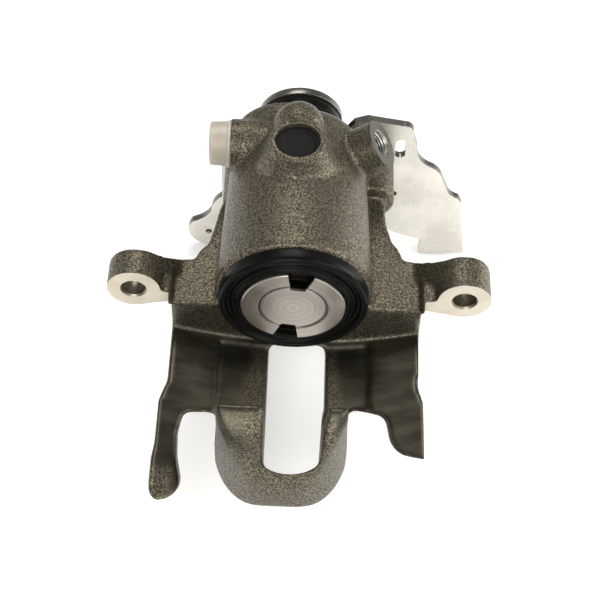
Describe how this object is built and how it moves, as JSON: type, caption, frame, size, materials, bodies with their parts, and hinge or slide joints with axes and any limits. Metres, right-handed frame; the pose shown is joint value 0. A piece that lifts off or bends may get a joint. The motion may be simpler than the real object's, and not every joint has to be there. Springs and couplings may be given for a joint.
{
  "type": "brake caliper",
  "caption": "Floating brake caliper housing with a fingered claw, a piston in a dust boot, guide pin ears and a handbrake lever on the back.",
  "frame": {"origin": "centre of the piston's crown face with the piston fully home", "axes": "+Y along the bore towards the handbrake lever, +X to the right with the piston facing the viewer, +Z away from the bridge"},
  "size_m": [0.1394, 0.169, 0.1027],
  "materials": {
    "cast_zinc": "zinc-plated sand casting, fine orange-peel grain",
    "piston_steel": "turned, matt",
    "seal_rubber": "matt",
    "boot_rubber": "satin black",
    "steel_plain": "machined, oiled",
    "spring_steel": "drawn wire, oiled",
    "hardened_steel": "ground",
    "bronze_bush": "sintered",
    "plated_bracket": "bright zinc plate on pressed steel",
    "plated_lever": "bright zinc plate on pressed steel",
    "plated_fastener": "zinc plate",
    "black_plug": "matt black",
    "cream_plastic": "translucent cream plastic"
  },
  "bodies": {
    "housing": {"caliper_housing": "cast_zinc", "piston_seal": "seal_rubber", "dust_boot": "boot_rubber", "boot_ring": "steel_plain", "spindle_key_pins": "hardened_steel", "ramp_spring": "spring_steel", "spring_cage": "steel_plain", "cage_circlip": "spring_steel", "shaft_thrust_bearing": "hardened_steel", "shaft_o_ring": "seal_rubber", "shaft_bush": "bronze_bush", "shaft_boot": "boot_rubber", "lever_return_spring": "spring_steel", "cable_bracket": "plated_bracket", "bracket_bolts": "plated_fastener", "top_boss_plug": "black_plug", "port_plug": "cream_plastic"},
    "lever": {"operating_shaft": "hardened_steel", "handbrake_lever": "plated_lever", "lever_washer": "plated_fastener", "lever_nut": "plated_fastener"},
    "spindle": {"adjuster_spindle": "hardened_steel"},
    "balls": {"ramp_balls": "hardened_steel"},
    "piston": {"piston": "piston_steel", "nut_thrust_bearing": "hardened_steel", "nut_spring_washer": "spring_steel", "nut_retaining_ring": "spring_steel"},
    "nut": {"adjuster_nut": "steel_plain"}
  },
  "joints": [
    {"name": "lever_turn", "type": "hinge", "parent": "housing", "child": "lever", "pos_m": [0, 0.0915, 0], "axis": [0, -1, 0], "range_deg": [0, 35], "deforming": ["lever_return_spring"]},
    {"name": "ball_roll", "type": "hinge", "parent": "housing", "child": "balls", "pos_m": [0, 0.0629, 0], "axis": [0, -1, 0], "range_deg": [0, 18]},
    {"name": "spindle_push", "type": "slide", "parent": "housing", "child": "spindle", "axis": [0, -1, 0], "range_m": [0, 0.0025], "deforming": ["ramp_spring"]},
    {"name": "piston_slide", "type": "slide", "parent": "housing", "child": "piston", "axis": [0, -1, 0], "range_m": [0, 0.02], "deforming": ["dust_boot"]},
    {"name": "nut_wind", "type": "hinge", "parent": "piston", "child": "nut", "pos_m": [0, 0.02, 0], "axis": [0, -1, 0], "range_deg": [0, 905]}
  ],
  "couplings": [
    {"joint": "ball_roll", "follows": "lever_turn", "ratio": 0.5},
    {"joint": "spindle_push", "follows": "lever_turn", "m_per_rad": 0.004},
    {"joint": "nut_wind", "follows": "piston_slide", "rad_per_m": 785.4}
  ]
}
